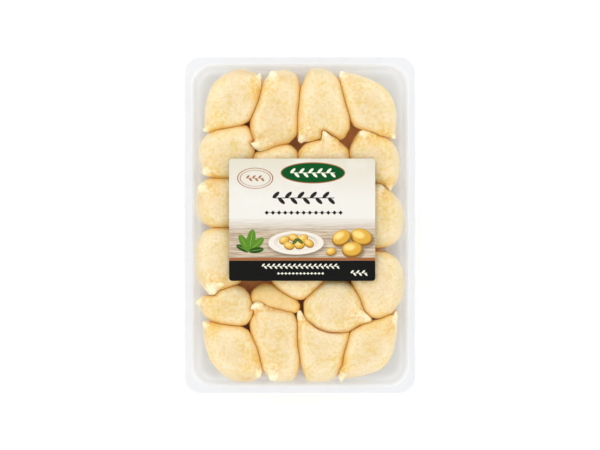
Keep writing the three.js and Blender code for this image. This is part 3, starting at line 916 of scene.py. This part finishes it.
def film_finish():
    """Clear lidding film, seen only by what it mirrors at a slant, and not from its inner side."""
    material, tree, shader = new_material(
        "lidding_film", Base_Color=tone(255, 255, 255), Metallic=1.0, Roughness=0.06
    )
    mirror = add(tree, "ShaderNodeFresnel")
    mirror.inputs["IOR"].default_value = FILM_IOR
    gloss = spread(tree, mirror.outputs["Fac"], FILM_MIRROR, 1, *FILM_ALPHA)
    inner_side = add(tree, "ShaderNodeNewGeometry").outputs["Backfacing"]
    seen = add(tree, "ShaderNodeLightPath").outputs["Is Camera Ray"]
    shown = calc(tree, "SUBTRACT", 1.0, calc(tree, "MULTIPLY", seen, inner_side))
    feed(tree, shader.inputs["Alpha"], calc(tree, "MULTIPLY", gloss, shown))
    return material


# ---------------------------------------------------------------- label print


MEASURES = ("Centre X", "Centre Y", "Half width", "Half height", "Corner", "Turn", "Oval", "Line", "Soft")


def print_shape_group():
    """A filled or outlined rounded box or oval as a mask, in millimetres on the label."""
    inputs = [("Place", VECTOR, None)] + [(name, NUMBER, 0.0) for name in MEASURES]
    group, given, result = new_group("Printed shape", inputs, [("Mask", NUMBER)])
    sums = ("ADD", "SUBTRACT", "MULTIPLY", "DIVIDE", "MAXIMUM", "MINIMUM")
    plus, minus, times, over, larger, smaller = (partial(calc, group, name) for name in sums)

    def length_of(ways):
        """How long a line is that reaches so far along each of two axes."""
        return calc(group, "SQRT", plus(*(times(way, way) for way in ways)))

    value = given.outputs
    axes = axes_of(group, value["Place"])
    right, up = (minus(axes[way], value["Centre " + way]) for way in "XY")
    cos, sin = calc(group, "COSINE", value["Turn"]), calc(group, "SINE", value["Turn"])
    across = plus(times(right, cos), times(up, sin))
    along = minus(times(up, cos), times(right, sin))
    halves = (value["Half width"], value["Half height"])
    outside, shares = [], []
    for way, half in zip((across, along), halves):
        outside.append(minus(calc(group, "ABSOLUTE", way), minus(half, value["Corner"])))
        shares.append(over(way, half))
    past_corner = length_of([larger(way, 0.0) for way in outside])
    box = minus(plus(past_corner, smaller(larger(*outside), 0.0)), value["Corner"])
    oval = times(minus(length_of(shares), 1.0), smaller(*halves))
    edge = plus(box, times(minus(oval, box), value["Oval"]))
    line = minus(calc(group, "ABSOLUTE", edge), times(value["Line"], 0.5))
    lined = calc(group, "GREATER_THAN", value["Line"], 0.0)
    edge = plus(edge, times(minus(line, edge), lined))
    depth = over(edge, value["Soft"])
    feed(group, result.inputs["Mask"], spread(group, depth, -1.0, 1.0, 1.0, 0.0))
    return group


COPPER, INK = tone(152, 92, 52), tone(14, 14, 13)
LEAF, DARK_LEAF, EMBLEM = tone(84, 128, 36), tone(36, 74, 20), tone(0, 74, 28)
GOLD, LIGHT_GOLD, DARK_GOLD = tone(206, 160, 62), tone(236, 208, 130), tone(138, 92, 34)
PLATE, PLATE_SHADE, SHADOW = tone(220, 214, 202), tone(182, 172, 156), tone(84, 66, 50)
CHARCOAL, PALE = tone(34, 31, 28), tone(226, 224, 208)


def shape(
    x, y, half_width, half_height, ink,
    corner=0.0, turn=0.0, oval=0.0, line=0.0, soft=0.06, share=1.0, run=None,
):
    """One printed shape: what the shape group takes, its ink and how much of it covers.

    With a run of (pitch, middle, half-length) it repeats along X, and x is then its place in each pitch.
    """
    return (x, y, half_width, half_height, corner, turn, oval, line, soft), ink, share, run


def oval(x, y, half_width, half_height, ink, **more):
    return shape(x, y, half_width, half_height, ink, oval=1.0, **more)


def bar(x, y, half_width, half_height, ink, corner=0.3, **more):
    return shape(x, y, half_width, half_height, ink, corner=corner, **more)


def leaf(x, y, reach, turn, ink):
    """A leaf with its pale midrib."""
    rib = tone(168, 200, 104)
    return [
        oval(x, y, reach, reach * 0.4, ink, turn=turn, soft=0.12),
        oval(x, y, reach * 0.85, 0.1, rib, turn=turn, share=0.8),
    ]


def round_thing(x, y, reach, turn, shadow=True):
    """A golden round of dough or potato, shaded below and lit above."""
    low, high = reach * 0.2, reach * 0.25
    drawn = []
    if shadow:
        drawn.append(oval(x + low, y - low, reach, reach * 0.74, SHADOW, turn=turn, soft=0.7, share=0.6))
    return drawn + [
        oval(x, y, reach, reach * 0.76, DARK_GOLD, turn=turn, soft=0.12),
        oval(x - 0.1, y + 0.12 * reach, reach * 0.9, reach * 0.64, GOLD, turn=turn, soft=0.5),
        oval(x - high, y + high, reach * 0.5, reach * 0.3, LIGHT_GOLD, turn=turn, soft=0.8, share=0.9),
    ]


def garland(x, y, size, count, ink):
    """A straight stem with an odd count of leaf pairs, a leaf to each side in turn."""
    pitch = size * 2.8
    run = (pitch, x, count * pitch / 2)
    return [
        bar(x, y, (count - 0.1) * pitch / 2, size * 0.09, ink, corner=0.0),
        oval(-size * 0.62, y + size * 0.66, size, size * 0.42, ink, turn=0.75, run=run),
        oval(size * 0.62, y - size * 0.66, size, size * 0.42, ink, turn=-0.75, run=run),
    ]


def lozenges(x, y, size, count, ink):
    """An odd count of small diamonds in a row, with a fine line through them."""
    pitch = size * 4
    return [
        bar(x, y, (count - 1) * pitch / 2, size * 0.14, ink, corner=0.0),
        bar(0.0, y, size, size, ink, corner=0.0, turn=math.pi / 4, run=(pitch, x, count * pitch / 2)),
    ]


def upper_print():
    """The emblem with its garland, the ring beside it and the ornament below them."""
    emblem, ring = (7.0, 30.5), (-30.5, 27.0)
    shapes = [
        oval(*emblem, 21.0, 6.9, COPPER),
        oval(*emblem, 20.4, 6.3, EMBLEM),
        oval(*ring, 11.4, 6.6, COPPER, line=0.4),
        oval(*ring, 9.8, 5.2, COPPER, line=0.25),
    ]
    shapes += garland(*emblem, 2.1, 5, PALE) + garland(*ring, 1.4, 3, COPPER)
    return shapes + garland(1.0, 14.2, 2.9, 5, CHARCOAL) + lozenges(1.0, 4.6, 1.0, 13, CHARCOAL)


def picture_print():
    """A fan of leaves, a plate with small dumplings, and potatoes, on the board."""
    shapes = []
    for turn, reach in ((2.7, 4.6), (2.1, 6.2), (1.4, 7.2), (0.75, 6.4), (0.15, 4.8)):
        x, y = -34.5 + reach * math.cos(turn), -20.5 + reach * math.sin(turn)
        shapes += leaf(x, y, reach, turn, LEAF if reach > 6 else DARK_LEAF)
    shapes += [
        oval(-3.6, -16.6, 18.4, 7.8, SHADOW, soft=1.0, share=0.6),
        oval(-4.0, -15.0, 18.0, 7.6, PLATE, soft=0.12),
        oval(-4.0, -14.6, 13.6, 5.4, PLATE_SHADE, soft=0.5),
        oval(-4.0, -15.2, 13.0, 4.9, PLATE, soft=0.5),
    ]
    back_row = ((-11.6, -13.4, 0.4), (-5.5, -11.8, -0.3), (0.6, -12.4, 0.5))
    front_row = ((-8.4, -17.0, -0.2), (-1.6, -16.6, 0.2), (4.4, -15.4, -0.5))
    for x, y, turn in back_row + front_row:
        shapes += round_thing(x, y, 3.5, turn, shadow=False)
    for x, y, turn in ((-4.6, -14.0, 0.9), (-1.4, -13.8, 2.4)):
        shapes += leaf(x, y, 2.5, turn, DARK_LEAF)
    large = ((38.5, -11.5, 7.4, -0.3), (25.5, -12.0, 6.6, 0.5), (32.5, -19.6, 6.8, 0.1))
    small = (18.8, -20.8, 3.4, 0.3)
    for x, y, reach, turn in (*large, small):
        shapes += round_thing(x, y, reach, turn)
    return shapes


def lower_print():
    """The dark band, the copper line above it and the pale ornament on it."""
    past_edges = LABEL_HALF[0] + 1
    shapes = [
        bar(0.0, -36.5, past_edges, 10.0, INK, corner=0.0),
        bar(0.0, -25.6, past_edges, 0.85, COPPER, corner=0.0),
    ]
    shapes += garland(-1.0, -30.2, 1.2, 15, PALE) + lozenges(-1.0, -34.9, 0.6, 13, PALE)
    return shapes + garland(37.0, -34.6, 1.3, 3, PALE)


CREAM_FADE = (40.0, 12.0)  # heights on the label between which its cream turns paler
BOARD_FADE = (1.5, -8.0)  # heights between which the board sets in
PLANK = 6.2
PLANK_GRAIN = (0.05, 1.1, 3.7)  # how fast its grain changes along it, across it and from plank to plank
SEAM = 0.09  # how wide the dark seam between planks is, as a share of a plank


def label_finish(grain):
    """Coated paper with a generic print: fields of colour and simple shapes only."""
    material, tree, shader = new_material("printed_paper", Roughness=0.3, Specular_IOR_Level=0.25)
    place = object_place(tree)
    moved = add(tree, "ShaderNodeVectorMath", operation="MULTIPLY_ADD")
    feed(tree, moved.inputs[0], place)
    moved.inputs[1].default_value = (1 / MM, 1 / MM, 1 / MM)
    moved.inputs[2].default_value = (-LABEL_MIDDLE[0], -LABEL_MIDDLE[1], 0)
    on_label = moved.outputs["Vector"]
    axes = axes_of(tree, on_label)
    across, height = axes["X"], axes["Y"]
    shape_group = print_shape_group()

    def along_run(pitch, middle, half_length):
        """The place on the label wrapped into each pitch of a run, and a mask of the run's length."""
        from_middle = calc(tree, "SUBTRACT", across, middle)
        wrapped = add(tree, "ShaderNodeCombineXYZ")
        feed(tree, wrapped.inputs[0], calc(tree, "WRAP", from_middle, pitch / 2, -pitch / 2))
        feed(tree, wrapped.inputs[1], height)
        within = calc(tree, "LESS_THAN", calc(tree, "ABSOLUTE", from_middle), half_length)
        return wrapped.outputs[0], within

    def print_on(colour, shapes):
        for measures, ink, share, run in shapes:
            where, cover = along_run(*run) if run else (on_label, share)
            made = use_group(tree, shape_group, Place=where)
            for name, measure in zip(MEASURES, measures):
                made.inputs[name].default_value = float(measure)
            cover = calc(tree, "MULTIPLY", made.outputs["Mask"], cover)
            colour = blend_colours(tree, cover, colour, ink)
        return colour

    fade = spread(tree, height, *CREAM_FADE)
    cream = blend_colours(tree, fade, tone(206, 200, 182), tone(218, 215, 208))
    clouds = spread(tree, noise_value(tree, on_label, 0.06), 0.5, 0.7, 0, 0.5)
    cream = blend_colours(tree, clouds, cream, tone(222, 220, 216))

    planks_up = calc(tree, "DIVIDE", height, PLANK)
    plank_place = add(tree, "ShaderNodeCombineXYZ")
    for way, value in enumerate((across, height, calc(tree, "FLOOR", planks_up))):
        feed(tree, plank_place.inputs[way], calc(tree, "MULTIPLY", value, PLANK_GRAIN[way]))
    veins = spread(tree, noise_value(tree, plank_place.outputs[0], 1.6, 4.0, 0.6), 0.35, 0.65)
    wood = blend_colours(tree, veins, tone(152, 130, 106), tone(208, 194, 172))
    seam = spread(tree, calc(tree, "FRACT", planks_up), 0.0, SEAM, 0.75, 0.0)
    wood = blend_colours(tree, seam, wood, tone(92, 70, 52))

    colour = blend_colours(tree, spread(tree, height, *BOARD_FADE), cream, wood)
    colour = print_on(colour, picture_print() + lower_print() + upper_print())
    feed(tree, shader.inputs["Base Color"], colour)
    fibre = use_group(tree, grain, Place=place, Coarse=500.0, Fine=2500.0)
    bump_from(tree, shader, fibre.outputs["Height"], 0.1, 0.05)
    return material


# ---------------------------------------------------------------- studio

WHITE = (1, 1, 1, 1)
FLOOR_SIZE = 20  # metres, as are the places and sizes below
FLOOR_DROP = 0.2 * MM
FLOOR_TONE = (0.8, 0.8, 0.8, 1)
FLOOR_GLOW = 0.13
CAMERA_AWAY = 5.0
VIEW_WIDTH = 0.39  # what the frame shows across, at the flange
SENSOR = 36.0  # millimetres
ROOM_LIGHT = 1.46
DARK_ABOVE = 0.06
DARK_FADE = (0.895, 0.98)  # the sines of the heights in the sky between which it darkens
BOX_PLACE = (-0.9, 0.9, 1.3)
BOX_SIZE = 1.2
BOX_POWER = 3.0


def make_floor():
    """A pale floor that gives off a little light, so that the pack's shadow on it stays faint."""
    bpy.ops.mesh.primitive_plane_add(size=FLOOR_SIZE, location=(0, 0, -FLOOR_DROP))
    floor = bpy.context.object
    floor.name = "studio_floor"
    finish = {"Roughness": 0.9, "Emission_Color": WHITE, "Emission_Strength": FLOOR_GLOW}
    floor.data.materials.append(new_material("pale_floor", Base_Color=FLOOR_TONE, **finish)[0])


def make_light():
    """A bright room all round, darker straight above where the camera hangs, and one soft box."""
    world = bpy.data.worlds.new("soft_room")
    bpy.context.scene.world = world
    world.use_nodes = True
    tree = world.node_tree
    room = tree.nodes["Background"]
    room.inputs["Color"].default_value = WHITE
    up = axes_of(tree, add(tree, "ShaderNodeTexCoord").outputs["Generated"])["Z"]
    feed(tree, room.inputs["Strength"], spread(tree, up, *DARK_FADE, ROOM_LIGHT, DARK_ABOVE))
    lamp = bpy.data.lights.new("soft_box", "AREA")
    lamp.shape = "RECTANGLE"
    lamp.size, lamp.size_y = BOX_SIZE, BOX_SIZE
    lamp.energy = BOX_POWER
    box = bpy.data.objects.new("soft_box", lamp)
    box.location = BOX_PLACE
    box.rotation_euler = (Vector((0, 0, 0)) - box.location).to_track_quat("-Z", "Y").to_euler()
    bpy.context.scene.collection.objects.link(box)


def make_camera():
    camera = bpy.data.objects.new("camera", bpy.data.cameras.new("camera"))
    camera.location = (0, 0, TRAY_HEIGHT * MM + CAMERA_AWAY)
    camera.data.sensor_width = SENSOR
    camera.data.lens = SENSOR * CAMERA_AWAY / VIEW_WIDTH
    bpy.context.scene.collection.objects.link(camera)
    bpy.context.scene.camera = camera


make_camera()
make_light()
make_floor()
bpy.context.scene.view_settings.view_transform = "Standard"
bpy.context.scene.cycles.max_bounces = 16
bpy.context.scene.cycles.diffuse_bounces = 8
bpy.context.scene.cycles.transparent_max_bounces = 24

grain = grain_group()
make_tray(tray_finish(grain))
make_film(film_finish())
make_label(label_finish(grain))
make_dumplings(dough_finish(grain))
